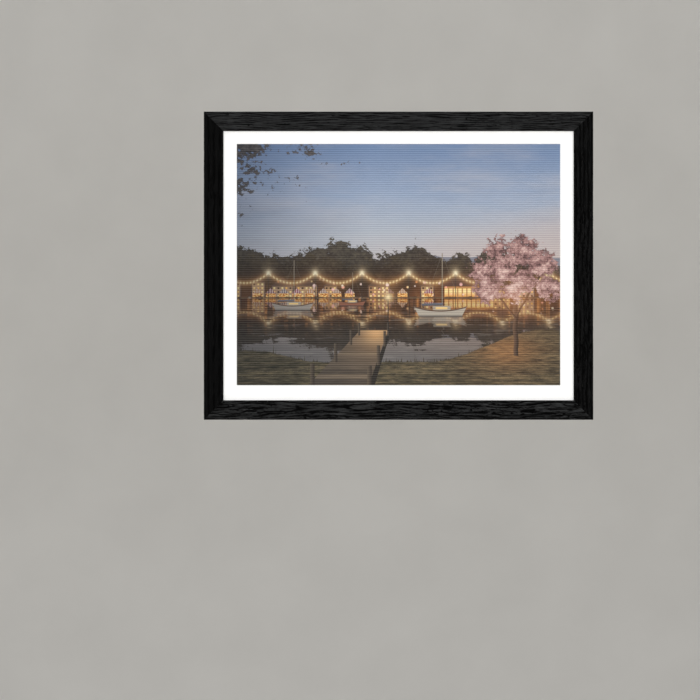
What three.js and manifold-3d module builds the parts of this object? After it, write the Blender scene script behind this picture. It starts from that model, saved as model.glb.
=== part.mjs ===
// A framed picture that hangs on a wall. Four mitred rails of black-stained wood hold a stack of clear
// glazing, a window mat, a print, a mounting board and a hardboard back. Behind are the tabs that keep
// the stack in, the nails across the mitres, a sawtooth hanger on two screws, and two rubber bumpers.
//
// Millimetres. +X is the viewer's right, +Z is up, and the picture faces -Y. The plane y = 0 is the
// wall, which the hanger and the bumpers touch. The origin is the middle of the hanger's rear face.

import * as THREE from "three";
import { mergeVertices } from "three/addons/utils/BufferGeometryUtils.js";
import Module from "manifold-3d";

const wasm = await Module();
wasm.setup();

// The print is a stock 24 x 18 inch sheet, and the mat and the boards are stock 26 x 20 inch sheets.
const INCH = 25.4;
const PRINT_WIDTH = 24 * INCH;
const PRINT_HEIGHT = 18 * INCH;
const SHEET_WIDTH = 26 * INCH;
const SHEET_HEIGHT = 20 * INCH;
const MAT_OVERLAP = (3 / 16) * INCH; // of the mat over each edge of the print
const WINDOW_RISE = 2; // of the window's middle above the frame's middle

// Rails
const FACE_WIDTH = 36; // from the outer edge to the sight edge
const RAIL_DEPTH = 22;
const LIP_WIDTH = 6.5; // of the part in front of the glazing's edge
const LIP_THICKNESS = 6;
const OUTER_EDGE_RADIUS = 1.6;
const SIGHT_EDGE_RADIUS = 1.2;
const BACK_EDGE_RADIUS = 0.8;
const EDGE_STEPS = 5;
const SHEET_PLAY = 1; // between the sheets and the rabbet wall, at each side
const SHEET_PLAY_ABOVE = 4; // in the rabbet's height, as the sheets stand on the bottom rail

// Gaps
const WALL_GAP = 3; // from the wall to the back of the rails
const SEAT_GAP = 0.3; // between pieces that touch on the real frame

// Sheets behind the lip, from front to back
const GLAZING_THICKNESS = 2;
const MAT_THICKNESS = 1.5;
const PRINT_THICKNESS = 0.4;
const MOUNTING_BOARD_THICKNESS = 2.4;
const BACK_PANEL_THICKNESS = 3;

// Tabs
const TAB_LENGTH = 21;
const TAB_WIDTH = 7;
const TAB_THICKNESS = 0.6;
const TAB_BITE = 6; // in the wood
const TAB_TIP = 3; // of its free end that is rounded
const LONG_RAIL_TABS = [-210, 0, 210]; // along the rail, from its middle
const SHORT_RAIL_TABS = [-125, 125];

// Corner nails: a V across the mitre, its point towards the frame's corner
const NAIL_LEG = 6;
const NAIL_THICKNESS = 0.5;
const NAIL_HALF_ANGLE = Math.PI / 5;
const NAIL_DEPTH = 9;
const NAIL_PLACES = [6, 19]; // of the point, from both outer edges

// Sawtooth hanger: flat ears, and a middle that stands off the rail for a nail's head
const HANGER_LENGTH = 64;
const HANGER_HEIGHT = 14;
const HANGER_THICKNESS = 1.2;
const HANGER_CORNER_RADIUS = 3;
const HANGER_EAR = 11;
const HANGER_RAMP = 3.5;
const HANGER_BELOW_TOP = 15; // from the frame's top edge to the hanger's middle
const TOOTH_COUNT = 11;
const TOOTH_PITCH = 3;
const TOOTH_DEPTH = 2;

// Hanger screws
const SCREW_HOLE_RADIUS = 1.7;
const SHANK_RADIUS = 1.3;
const SHANK_LENGTH = 12; // in the wood, point included
const SHANK_POINT = 3;
const HEAD_RADIUS = 2.9;
const HEAD_HEIGHT = 1;
const CROSS_LENGTH = 3.2;
const CROSS_WIDTH = 0.7;
const CROSS_DEPTH = 0.7;

// Bumpers on the bottom rail
const BUMPER_RADIUS = 5;
const BUMPER_DRAFT = 0.8;
const BUMPER_ROUND = 0.6;
const BUMPER_FROM_SIDE = 42; // from the frame's side to the bumper's middle
const BUMPER_FROM_BOTTOM = 15;

const ROUND_SEGMENTS = 32;

// Worked out from the sizes above
const RABBET_WIDTH = SHEET_WIDTH + 2 * SHEET_PLAY;
const RABBET_HEIGHT = SHEET_HEIGHT + SHEET_PLAY_ABOVE;
const RABBET_WALL = FACE_WIDTH - LIP_WIDTH; // thickness of the wood beside the sheets
const OUTER_WIDTH = RABBET_WIDTH + 2 * RABBET_WALL;
const OUTER_HEIGHT = RABBET_HEIGHT + 2 * RABBET_WALL;

const TOP_Z = HANGER_BELOW_TOP;
const BOTTOM_Z = TOP_Z - OUTER_HEIGHT;
const MIDDLE_Z = (TOP_Z + BOTTOM_Z) / 2;
const STACK_Z = BOTTOM_Z + RABBET_WALL + SEAT_GAP + SHEET_HEIGHT / 2; // the sheets stand on the bottom rail

const BACK_Y = -WALL_GAP;
const FRONT_Y = BACK_Y - RAIL_DEPTH;
const LIP_BACK_Y = FRONT_Y + LIP_THICKNESS;
const GLAZING_Y = LIP_BACK_Y + SEAT_GAP; // of each sheet's front face
const MAT_Y = GLAZING_Y + GLAZING_THICKNESS + SEAT_GAP;
const PRINT_Y = MAT_Y + MAT_THICKNESS + SEAT_GAP;
const MOUNTING_BOARD_Y = PRINT_Y + PRINT_THICKNESS + SEAT_GAP;
const BACK_PANEL_Y = MOUNTING_BOARD_Y + MOUNTING_BOARD_THICKNESS + SEAT_GAP;
const TAB_Y = BACK_PANEL_Y + BACK_PANEL_THICKNESS + SEAT_GAP;

const WINDOW_WIDTH = PRINT_WIDTH - 2 * MAT_OVERLAP;
const WINDOW_HEIGHT = PRINT_HEIGHT - 2 * MAT_OVERLAP;
const WINDOW_Z = MIDDLE_Z + WINDOW_RISE;

const SCREW_X = (HANGER_LENGTH - HANGER_EAR) / 2;
const EAR_Y = BACK_Y + SEAT_GAP; // front face of the hanger's ears
const SCREW_Y = EAR_Y + HANGER_THICKNESS + SEAT_GAP; // where the screws' heads bear

const finish = (color, roughness, metalness = 0, more = {}) =>
  new THREE.MeshStandardMaterial({ color, roughness, metalness, ...more });

const FINISHES = {
  blackWood: finish(0x1c1b1a, 0.55),
  clearSheet: finish(0xf2f7f7, 0.05, 0, { transparent: true, opacity: 0.15 }),
  whiteMat: finish(0xf8f8f5, 0.85),
  print: finish(0x7b7b80, 0.5),
  greyBoard: finish(0xcfc9bb, 0.9),
  hardboard: finish(0x8b6a48, 0.8),
  tabSteel: finish(0x77797c, 0.4, 0.9),
  zincSteel: finish(0xb8b9b6, 0.35, 0.9),
  brassedSteel: finish(0xb49a5a, 0.35, 0.9),
  rubber: finish(0x2a2a2b, 0.9),
};

const picture = new THREE.Group();

function add(name, geometry, material) {
  const mesh = new THREE.Mesh(geometry, material);
  mesh.name = name;
  picture.add(mesh);
  return mesh;
}

// Triangles that merging the vertices folds onto an edge, such as a lathe's at its axis, are dropped.
function solidOf(geometry) {
  const bare = geometry.clone();
  bare.deleteAttribute("normal");
  bare.deleteAttribute("uv");
  const merged = mergeVertices(bare, 1e-4);
  const corners = merged.index.array;
  const triangles = [];
  for (let i = 0; i < corners.length; i += 3) {
    const triangle = corners.slice(i, i + 3);
    if (new Set(triangle).size === 3) {
      triangles.push(...triangle);
    }
  }
  return new wasm.Manifold(
    new wasm.Mesh({
      numProp: 3,
      vertProperties: merged.getAttribute("position").array,
      triVerts: new Uint32Array(triangles),
    }),
  );
}

function geometryOf(solid) {
  const { vertProperties, triVerts } = solid.getMesh();
  const geometry = new THREE.BufferGeometry();
  geometry.setAttribute("position", new THREE.BufferAttribute(vertProperties, 3));
  geometry.setIndex(new THREE.BufferAttribute(triVerts, 1));
  geometry.computeVertexNormals();
  return geometry;
}

function cut(geometry, cutters) {
  const left = cutters.reduce((solid, cutter) => solid.subtract(solidOf(cutter)), solidOf(geometry));
  return geometryOf(left);
}

// A flat piece: its outline is drawn in x and z, and its thickness runs back from frontY.
function plate(outline, thickness, frontY) {
  return new THREE.ExtrudeGeometry(outline, { depth: thickness, bevelEnabled: false })
    .rotateX(Math.PI / 2)
    .translate(0, frontY + thickness, 0);
}

function sheet(width, height, thickness, frontY, z) {
  return new THREE.BoxGeometry(width, thickness, height).translate(0, frontY + thickness / 2, z);
}

// The rail's section, with x from the outer edge to the sight edge and y as in the finished frame
function railSection() {
  const quarter = Math.PI / 2;
  const section = new THREE.Shape();
  section.moveTo(RABBET_WALL, BACK_Y);
  section.lineTo(BACK_EDGE_RADIUS, BACK_Y);
  section.absarc(BACK_EDGE_RADIUS, BACK_Y - BACK_EDGE_RADIUS, BACK_EDGE_RADIUS, quarter, 2 * quarter);
  const outer = OUTER_EDGE_RADIUS;
  section.absarc(outer, FRONT_Y + outer, outer, 2 * quarter, 3 * quarter);
  const sight = SIGHT_EDGE_RADIUS;
  section.absarc(FACE_WIDTH - sight, FRONT_Y + sight, sight, 3 * quarter, 4 * quarter);
  section.lineTo(FACE_WIDTH, LIP_BACK_Y);
  section.lineTo(RABBET_WALL, LIP_BACK_Y);
  section.closePath();
  return section;
}

// A rail before its pockets are cut. It lies along x, its outer edge is at z = 0 and its sight edge
// below that, and the extrusion's two ends are moved out to the mitres.
function mitredBlank(length) {
  const blank = new THREE.ExtrudeGeometry(railSection(), {
    depth: 1,
    bevelEnabled: false,
    curveSegments: EDGE_STEPS,
  });
  const points = blank.getAttribute("position");
  for (let i = 0; i < points.count; i++) {
    const fromEdge = points.getX(i);
    const end = points.getZ(i) > 0.5 ? 1 : -1;
    const reach = length / 2 - fromEdge - SEAT_GAP / Math.SQRT2;
    points.setXYZ(i, end * reach, points.getY(i), -fromEdge);
  }
  return blank;
}

// A tab's outline on a rail like the blank above: it bites up into the wood and points down.
function tabOutline(along) {
  const half = TAB_WIDTH / 2;
  const free = TAB_LENGTH - TAB_BITE;
  const outline = new THREE.Shape();
  outline.moveTo(along + half, TAB_BITE - RABBET_WALL);
  outline.lineTo(along - half, TAB_BITE - RABBET_WALL);
  outline.absellipse(along, TAB_TIP - free - RABBET_WALL, half, TAB_TIP, Math.PI, 2 * Math.PI);
  outline.closePath();
  return outline;
}

function tabSlot(along) {
  const slot = new THREE.BoxGeometry(
    TAB_WIDTH + 2 * SEAT_GAP,
    TAB_THICKNESS + 2 * SEAT_GAP,
    2 * (TAB_BITE + SEAT_GAP),
  );
  return slot.translate(along, TAB_Y + TAB_THICKNESS / 2, -RABBET_WALL);
}

// A corner nail's outline, or its pocket's with a margin. Its point is at the origin and its legs open
// along +x.
function nailOutline(margin) {
  const half = NAIL_THICKNESS / 2 + margin;
  const leg = NAIL_LEG + margin;
  const c = Math.cos(NAIL_HALF_ANGLE);
  const s = Math.sin(NAIL_HALF_ANGLE);
  const outline = new THREE.Shape();
  outline.moveTo(-half / s, 0);
  outline.lineTo(leg * c - half * s, -leg * s - half * c);
  outline.lineTo(leg * c + half * s, -leg * s + half * c);
  outline.lineTo(half / s, 0);
  outline.lineTo(leg * c + half * s, leg * s - half * c);
  outline.lineTo(leg * c - half * s, leg * s + half * c);
  outline.closePath();
  return outline;
}

// The pockets for both nails at one end (-1 or 1) of a rail like the blank above
function nailPockets(length, end) {
  return NAIL_PLACES.map((place) =>
    plate(nailOutline(SEAT_GAP), 2 * (NAIL_DEPTH + SEAT_GAP), BACK_Y - NAIL_DEPTH - SEAT_GAP)
      .rotateY(end < 0 ? Math.PI / 4 : (3 * Math.PI) / 4)
      .translate(end * (length / 2 - place), 0, -place),
  );
}

function screwPocket(x) {
  const radius = SHANK_RADIUS + SEAT_GAP;
  const depth = SHANK_LENGTH + SEAT_GAP - (SCREW_Y - BACK_Y);
  const drill = new THREE.CylinderGeometry(radius, radius, 2 * depth, ROUND_SEGMENTS);
  return drill.translate(x, BACK_Y, -HANGER_BELOW_TOP);
}

// The four sides in the frame: where the middle of the rail's outer edge is, and its turn about y
const SIDES = {
  top: { x: 0, z: TOP_Z, turn: 0, tabs: LONG_RAIL_TABS, length: OUTER_WIDTH },
  bottom: { x: 0, z: BOTTOM_Z, turn: Math.PI, tabs: LONG_RAIL_TABS, length: OUTER_WIDTH },
  left: { x: -OUTER_WIDTH / 2, z: MIDDLE_Z, turn: -Math.PI / 2, tabs: SHORT_RAIL_TABS, length: OUTER_HEIGHT },
  right: { x: OUTER_WIDTH / 2, z: MIDDLE_Z, turn: Math.PI / 2, tabs: SHORT_RAIL_TABS, length: OUTER_HEIGHT },
};

function addOnSide(name, geometry, material, side) {
  const mesh = add(name, geometry, material);
  mesh.position.set(side.x, 0, side.z);
  mesh.rotation.y = side.turn;
}

for (const [name, side] of Object.entries(SIDES)) {
  const pockets = [-1, 1].flatMap((end) => nailPockets(side.length, end));
  if (name === "top") {
    pockets.push(screwPocket(-SCREW_X), screwPocket(SCREW_X));
  }
  const rail = cut(mitredBlank(side.length), [...pockets, ...side.tabs.map(tabSlot)]);
  addOnSide(`${name}_rail`, rail, FINISHES.blackWood, side);
  side.tabs.forEach((along, index) => {
    const tab = plate(tabOutline(along), TAB_THICKNESS, TAB_Y);
    addOnSide(`${name}_tab_${index + 1}`, tab, FINISHES.tabSteel, side);
  });
}

// Corner nails, outer and inner, at the four corners
for (const [side, x] of Object.entries({ left: -1, right: 1 })) {
  for (const [level, z] of Object.entries({ bottom: -1, top: 1 })) {
    NAIL_PLACES.forEach((distance, index) => {
      const nail = plate(nailOutline(0), NAIL_DEPTH - SEAT_GAP, BACK_Y - NAIL_DEPTH);
      const mesh = add(`nail_${level}_${side}_${index + 1}`, nail, FINISHES.tabSteel);
      mesh.position.set(x * (OUTER_WIDTH / 2 - distance), 0, MIDDLE_Z + z * (OUTER_HEIGHT / 2 - distance));
      mesh.rotation.y = Math.atan2(z, -x);
    });
  }
}

// The sheets
function windowMat() {
  const mat = sheet(SHEET_WIDTH, SHEET_HEIGHT, MAT_THICKNESS, MAT_Y, STACK_Z);
  // A four-sided cone, cut off square, makes the window and the 45 degree bevel round it.
  const window = new THREE.CylinderGeometry(Math.SQRT1_2, Math.SQRT1_2, 2 * MAT_THICKNESS, 4);
  window.rotateY(Math.PI / 4);
  const points = window.getAttribute("position");
  for (let i = 0; i < points.count; i++) {
    const forward = -points.getY(i); // of the mat's rear face, where the window has its stated size
    points.setX(i, points.getX(i) * (WINDOW_WIDTH + 2 * forward));
    points.setZ(i, points.getZ(i) * (WINDOW_HEIGHT + 2 * forward));
  }
  window.translate(0, MAT_Y + MAT_THICKNESS, WINDOW_Z);
  return cut(mat, [window]);
}

add(
  "glazing",
  sheet(SHEET_WIDTH, SHEET_HEIGHT, GLAZING_THICKNESS, GLAZING_Y, STACK_Z),
  FINISHES.clearSheet,
);
add("window_mat", windowMat(), FINISHES.whiteMat);
add("art_print", sheet(PRINT_WIDTH, PRINT_HEIGHT, PRINT_THICKNESS, PRINT_Y, WINDOW_Z), FINISHES.print);
add(
  "mounting_board",
  sheet(SHEET_WIDTH, SHEET_HEIGHT, MOUNTING_BOARD_THICKNESS, MOUNTING_BOARD_Y, STACK_Z),
  FINISHES.greyBoard,
);
add(
  "back_panel",
  sheet(SHEET_WIDTH, SHEET_HEIGHT, BACK_PANEL_THICKNESS, BACK_PANEL_Y, STACK_Z),
  FINISHES.hardboard,
);

// The hanger seen from behind: rounded corners, a hole at each end and the teeth along its lower edge
function hangerOutline() {
  const quarter = Math.PI / 2;
  const round = HANGER_CORNER_RADIUS;
  const side = HANGER_LENGTH / 2;
  const edge = HANGER_HEIGHT / 2;
  const teethStart = -(TOOTH_COUNT * TOOTH_PITCH) / 2;
  const outline = new THREE.Shape();
  outline.moveTo(round - side, -edge);
  for (let tooth = 0; tooth < TOOTH_COUNT; tooth++) {
    const left = teethStart + tooth * TOOTH_PITCH;
    outline.lineTo(left, -edge);
    outline.lineTo(left + TOOTH_PITCH / 2, TOOTH_DEPTH - edge);
  }
  outline.lineTo(-teethStart, -edge);
  outline.lineTo(side - round, -edge);
  outline.absarc(side - round, round - edge, round, 3 * quarter, 4 * quarter);
  outline.absarc(side - round, edge - round, round, 0, quarter);
  outline.absarc(round - side, edge - round, round, quarter, 2 * quarter);
  outline.absarc(round - side, round - edge, round, 2 * quarter, 3 * quarter);
  for (const end of [-1, 1]) {
    const hole = new THREE.Path();
    hole.absarc(end * SCREW_X, 0, SCREW_HOLE_RADIUS, 0, 4 * quarter, true);
    outline.holes.push(hole);
  }
  return outline;
}

// The strip that the hanger is pressed from, seen from above: flat ears and a raised middle
function bentStrip() {
  const side = HANGER_LENGTH / 2;
  const rampStart = side - HANGER_EAR;
  const rampEnd = rampStart - HANGER_RAMP;
  const earRear = EAR_Y + HANGER_THICKNESS;
  const edge = new THREE.Shape();
  edge.moveTo(-side, EAR_Y);
  edge.lineTo(-rampStart, EAR_Y);
  edge.lineTo(-rampEnd, -HANGER_THICKNESS);
  edge.lineTo(rampEnd, -HANGER_THICKNESS);
  edge.lineTo(rampStart, EAR_Y);
  edge.lineTo(side, EAR_Y);
  edge.lineTo(side, earRear);
  edge.lineTo(rampStart, earRear);
  edge.lineTo(rampEnd, 0);
  edge.lineTo(-rampEnd, 0);
  edge.lineTo(-rampStart, earRear);
  edge.lineTo(-side, earRear);
  edge.closePath();
  const strip = new THREE.ExtrudeGeometry(edge, { depth: HANGER_HEIGHT, bevelEnabled: false });
  return strip.translate(0, 0, -HANGER_HEIGHT / 2);
}

const throughPlate = plate(hangerOutline(), 3 * WALL_GAP, -2 * WALL_GAP);
const hanger = geometryOf(solidOf(bentStrip()).intersect(solidOf(throughPlate)));
add("sawtooth_hanger", hanger, FINISHES.brassedSteel);

// A pan-head screw on the y axis, its head towards the wall and the head's seat at y = 0
function screw() {
  const profile = new THREE.Path();
  profile.moveTo(0, -SHANK_LENGTH);
  profile.lineTo(SHANK_RADIUS, SHANK_POINT - SHANK_LENGTH);
  profile.lineTo(SHANK_RADIUS, 0);
  profile.lineTo(HEAD_RADIUS, 0);
  profile.lineTo(HEAD_RADIUS, HEAD_HEIGHT / 2);
  profile.quadraticCurveTo(HEAD_RADIUS, HEAD_HEIGHT, HEAD_RADIUS / 2, HEAD_HEIGHT);
  profile.lineTo(0, HEAD_HEIGHT);
  const body = new THREE.LatheGeometry(profile.getPoints(4), ROUND_SEGMENTS);
  const bars = [0, Math.PI / 2].map((turn) => {
    const bar = new THREE.BoxGeometry(CROSS_LENGTH, 2 * CROSS_DEPTH, CROSS_WIDTH);
    return bar.rotateY(turn).translate(0, HEAD_HEIGHT, 0);
  });
  return cut(body, bars);
}

for (const [side, end] of Object.entries({ left: -1, right: 1 })) {
  const mesh = add(`hanger_screw_${side}`, screw(), FINISHES.zincSteel);
  mesh.position.set(end * SCREW_X, SCREW_Y, 0);
}

// A bumper on the y axis, from its seat on the rail to the wall
function bumper() {
  const wallRadius = BUMPER_RADIUS - BUMPER_DRAFT;
  const profile = new THREE.Path();
  profile.moveTo(0, BACK_Y + SEAT_GAP);
  profile.lineTo(BUMPER_RADIUS, BACK_Y + SEAT_GAP);
  profile.lineTo(wallRadius, -BUMPER_ROUND);
  profile.quadraticCurveTo(wallRadius, 0, wallRadius - BUMPER_ROUND, 0);
  profile.lineTo(0, 0);
  return new THREE.LatheGeometry(profile.getPoints(4), ROUND_SEGMENTS);
}

for (const [side, x] of Object.entries({ left: -1, right: 1 })) {
  const mesh = add(`wall_bumper_${side}`, bumper(), FINISHES.rubber);
  mesh.position.set(x * (OUTER_WIDTH / 2 - BUMPER_FROM_SIDE), 0, BOTTOM_Z + BUMPER_FROM_BOTTOM);
}

export default picture;
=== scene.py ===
"""The looks of a framed picture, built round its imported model.

Metres. +X is the viewer's right, +Z is up, the picture faces -Y and the wall is the plane y = 0.
"""

import math

import bmesh
import bpy
import numpy as np
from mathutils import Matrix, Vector


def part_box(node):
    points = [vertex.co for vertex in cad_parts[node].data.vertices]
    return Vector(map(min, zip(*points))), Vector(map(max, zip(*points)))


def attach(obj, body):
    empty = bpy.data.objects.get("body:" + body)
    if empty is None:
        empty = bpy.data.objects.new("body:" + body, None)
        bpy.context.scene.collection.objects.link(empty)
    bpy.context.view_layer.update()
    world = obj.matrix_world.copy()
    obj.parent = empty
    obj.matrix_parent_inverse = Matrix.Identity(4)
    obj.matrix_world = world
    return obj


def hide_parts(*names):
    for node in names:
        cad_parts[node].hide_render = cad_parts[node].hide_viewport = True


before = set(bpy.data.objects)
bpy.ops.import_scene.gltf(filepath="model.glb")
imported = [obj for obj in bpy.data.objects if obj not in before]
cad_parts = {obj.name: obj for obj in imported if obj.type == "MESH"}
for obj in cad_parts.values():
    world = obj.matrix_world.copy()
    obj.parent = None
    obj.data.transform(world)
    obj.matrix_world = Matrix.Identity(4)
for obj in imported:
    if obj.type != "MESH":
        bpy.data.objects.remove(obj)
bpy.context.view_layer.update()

MM = 0.001

# The frame's main planes and edges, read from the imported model
LEFT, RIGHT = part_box("left_rail")[0].x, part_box("right_rail")[1].x
BOTTOM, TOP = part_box("bottom_rail")[0].z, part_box("top_rail")[1].z
FRONT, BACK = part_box("top_rail")[0].y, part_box("top_rail")[1].y
FACE_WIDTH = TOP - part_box("top_rail")[0].z
MIDDLE = Vector(((LEFT + RIGHT) / 2, FRONT, (BOTTOM + TOP) / 2))


# Camera

PHOTO_SIZE = 700  # pixels, both ways
PHOTO_FRAME_WIDTH = 389.6  # pixels, of the frame's outer width
PHOTO_FRAME_CENTRE = (398.5, 265.7)  # pixels, from the left and from the top
CAMERA_DISTANCE = 4.03
SENSOR = 36  # in Blender's own millimetres


def add_camera():
    camera = bpy.data.objects.new("camera", bpy.data.cameras.new("camera"))
    bpy.context.scene.collection.objects.link(camera)
    camera.location = MIDDLE - Vector((0, CAMERA_DISTANCE, 0))
    camera.rotation_euler = (math.pi / 2, 0, 0)
    view_width = (RIGHT - LEFT) * PHOTO_SIZE / PHOTO_FRAME_WIDTH
    camera.data.sensor_width = SENSOR
    camera.data.lens = SENSOR * CAMERA_DISTANCE / view_width
    camera.data.shift_x = 0.5 - PHOTO_FRAME_CENTRE[0] / PHOTO_SIZE
    camera.data.shift_y = PHOTO_FRAME_CENTRE[1] / PHOTO_SIZE - 0.5
    bpy.context.scene.camera = camera


add_camera()


# Material graphs, written as formulas


def linear(colour):
    """A colour of three numbers from 0 to 255, as a screen shows it, made the linear colour of four numbers
    that a shader takes. A colour of four numbers stays as it is."""
    if len(colour) == 4:
        return colour
    shares = (value / 255 for value in colour)
    return (*(s / 12.92 if s <= 0.04045 else ((s + 0.055) / 1.055) ** 2.4 for s in shares), 1)


def by_node(operation):
    """A method that works out a new field with a math node."""

    def method(field, *others):
        return Field(field.graph, field.graph.add("ShaderNodeMath", field, *others, operation=operation))

    return method


class Field:
    """A number that a material works out at each point, so that its formulas read as formulas."""

    def __init__(self, graph, socket):
        self.graph = graph
        self.socket = socket

    __add__ = __radd__ = by_node("ADD")
    __sub__ = by_node("SUBTRACT")
    __mul__ = by_node("MULTIPLY")
    __pow__ = by_node("POWER")
    __abs__ = by_node("ABSOLUTE")
    floor = by_node("FLOOR")
    fraction = by_node("FRACT")
    sine = by_node("SINE")
    least = by_node("MINIMUM")
    most = by_node("MAXIMUM")
    times_and = by_node("MULTIPLY_ADD")

    def __rsub__(self, other):
        return self.times_and(-1, other)

    def over(self, low, high):
        """0 where this is under low, 1 where it is over high, and smooth between. low may be the higher."""
        node = self.graph.add_node(
            "ShaderNodeMapRange", self, low, high, interpolation_type="SMOOTHSTEP", clamp=False
        )
        return Field(self.graph, node.outputs[0])


class Graph:
    """The nodes of one material. Each is made after those that feed it, because the renderer takes them
    in that order and has little room for what still waits. A vector put together from numbers waits
    longest, so there are few of those, and textures take theirs scaled and moved from a vector that is
    there already."""

    def __init__(self, name):
        self.material = bpy.data.materials.new(name)
        self.material.use_nodes = True
        self.tree = self.material.node_tree
        self.tree.nodes.clear()
        self.output = self.tree.nodes.new("ShaderNodeOutputMaterial")
        self.place = self.tree.nodes.new("ShaderNodeTexCoord").outputs["Object"]
        axes = self.add_node("ShaderNodeSeparateXYZ", self.place).outputs
        self.x, self.y, self.z = (Field(self, axis) for axis in axes)

    def feed(self, socket, value):
        if isinstance(value, Field):
            value = value.socket
        if isinstance(value, bpy.types.NodeSocket):
            self.tree.links.new(value, socket)
        elif value is not None:
            socket.default_value = linear(value) if isinstance(value, tuple) else value

    def add_node(self, kind, *inputs, **settings):
        node = self.tree.nodes.new(kind)
        for name, value in settings.items():
            setattr(node, name, value)
        for socket, value in zip(node.inputs, inputs):
            self.feed(socket, value)
        return node

    def add(self, kind, *inputs, **settings):
        return self.add_node(kind, *inputs, **settings).outputs[0]

    def point(self, x, y, z=0.0):
        return self.add("ShaderNodeCombineXYZ", x, y, z)

    def spread(self, place, scale, offset=(0, 0, 0), turn=0.0):
        """A place scaled to lumps per metre, turned about X and moved, for a texture to be taken at."""
        node = self.add_node("ShaderNodeMapping", place)
        node.inputs["Scale"].default_value = scale if isinstance(scale, tuple) else (scale, scale, scale)
        node.inputs["Location"].default_value = offset
        node.inputs["Rotation"].default_value = (turn, 0, 0)
        return node.outputs[0]

    def noise(self, place, detail=3.0, roughness=0.5):
        node = self.add_node("ShaderNodeTexNoise", place)
        node.inputs["Scale"].default_value = 1
        node.inputs["Detail"].default_value = detail
        node.inputs["Roughness"].default_value = roughness
        return Field(self, node.outputs[0])

    def cells(self, place):
        """The distance to the nearest of many scattered points, and a random colour for that point."""
        node = self.add_node("ShaderNodeTexVoronoi", place)
        node.inputs["Scale"].default_value = 1
        return Field(self, node.outputs["Distance"]), node.outputs["Color"]

    def random(self, value):
        node = self.add_node("ShaderNodeTexWhiteNoise", noise_dimensions="1D")
        self.feed(node.inputs["W"], value)
        return Field(self, node.outputs["Value"])

    def attribute(self, name):
        return Field(self, self.add_node("ShaderNodeAttribute", attribute_name=name).outputs["Fac"])

    def red(self, colour):
        return Field(self, self.add("ShaderNodeSeparateColor", colour))

    def mix(self, factor, a, b, blend="MIX"):
        """Colour a, or colour b where the factor is 1. Inputs 6 and 7 are the node's colours A and B."""
        node = self.add_node("ShaderNodeMix", data_type="RGBA", blend_type=blend)
        self.feed(node.inputs["Factor"], factor)
        self.feed(node.inputs[6], a)
        self.feed(node.inputs[7], b)
        return node.outputs[2]

    def colours(self, factor, *stops):
        """A smooth run of colours, each stop a place from 0 to 1 and a colour."""
        node = self.add_node("ShaderNodeValToRGB", factor)
        elements = node.color_ramp.elements
        while len(elements) < len(stops):
            elements.new(0.5)
        for element, (place, colour) in zip(elements, stops):
            element.position = place
            element.color = linear(colour)
        return node.outputs[0]

    def bump(self, height, distance, strength=1.0):
        node = self.add_node("ShaderNodeBump")
        node.inputs["Strength"].default_value = strength
        node.inputs["Distance"].default_value = distance
        self.feed(node.inputs["Height"], height)
        return node.outputs[0]

    def surface(self, colour, roughness, normal=None, metallic=0.0, specular=0.5):
        node = self.add_node("ShaderNodeBsdfPrincipled")
        self.feed(node.inputs["Base Color"], colour)
        self.feed(node.inputs["Roughness"], roughness)
        self.feed(node.inputs["Normal"], normal)
        node.inputs["Metallic"].default_value = metallic
        node.inputs["Specular IOR Level"].default_value = specular
        self.tree.links.new(node.outputs[0], self.output.inputs["Surface"])
        return self.material


# Shapes

SHARP_ANGLE = 40  # degrees between faces, from which their edge is drawn sharp
SAME_POINT = 0.001 * MM
SAME_PLANE = 1  # degree
EASED_ANGLE = 30  # degrees between faces, from which their edge is eased


def add_piece(name, mesh, material, slot, *nodes):
    """Adds a piece of the object, which stands for the CAD nodes named."""
    obj = bpy.data.objects.new(name, mesh)
    bpy.context.scene.collection.objects.link(obj)
    mesh.materials.clear()
    mesh.materials.append(material)
    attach(obj, "root")
    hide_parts(*nodes)


def new_mesh(name, vertices, faces):
    mesh = bpy.data.meshes.new(name)
    mesh.from_pydata(vertices, [], faces, shade_flat=False)
    mesh.set_sharp_from_angle(angle=math.radians(SHARP_ANGLE))
    return mesh


def mesh_of(name, solid, sharp_angle=SHARP_ANGLE):
    """The mesh of a bmesh, which is used up."""
    bmesh.ops.recalc_face_normals(solid, faces=solid.faces)
    for face in solid.faces:
        face.smooth = True
    mesh = bpy.data.meshes.new(name)
    solid.to_mesh(mesh)
    solid.free()
    mesh.set_sharp_from_angle(angle=math.radians(sharp_angle))
    return mesh


def eased(node, width):
    """A CAD node's shape with its sharp edges rounded."""
    solid = bmesh.new()
    solid.from_mesh(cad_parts[node].data)
    bmesh.ops.remove_doubles(solid, verts=solid.verts, dist=SAME_POINT)
    flat = math.radians(SAME_PLANE)
    bmesh.ops.dissolve_limit(solid, angle_limit=flat, verts=solid.verts, edges=solid.edges)
    sharp = [edge for edge in solid.edges if edge.calc_face_angle(0) > math.radians(EASED_ANGLE)]
    bmesh.ops.bevel(
        solid, geom=sharp, offset=width, segments=2, profile=0.5, affect="EDGES", clamp_overlap=True
    )
    return solid


def ring_mesh(name, loops):
    """A closed ring from rectangles (left, right, bottom, top, y), each joined to the next."""
    vertices = [
        (x, y, z)
        for left, right, bottom, top, y in loops
        for x, z in ((left, bottom), (right, bottom), (right, top), (left, top))
    ]
    faces = [
        [4 * i + j, 4 * i + (j + 1) % 4, 4 * k + (j + 1) % 4, 4 * k + j]
        for i, k in ((i, (i + 1) % len(loops)) for i in range(len(loops)))
        for j in range(4)
    ]
    return new_mesh(name, vertices, faces)


# Wood


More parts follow.
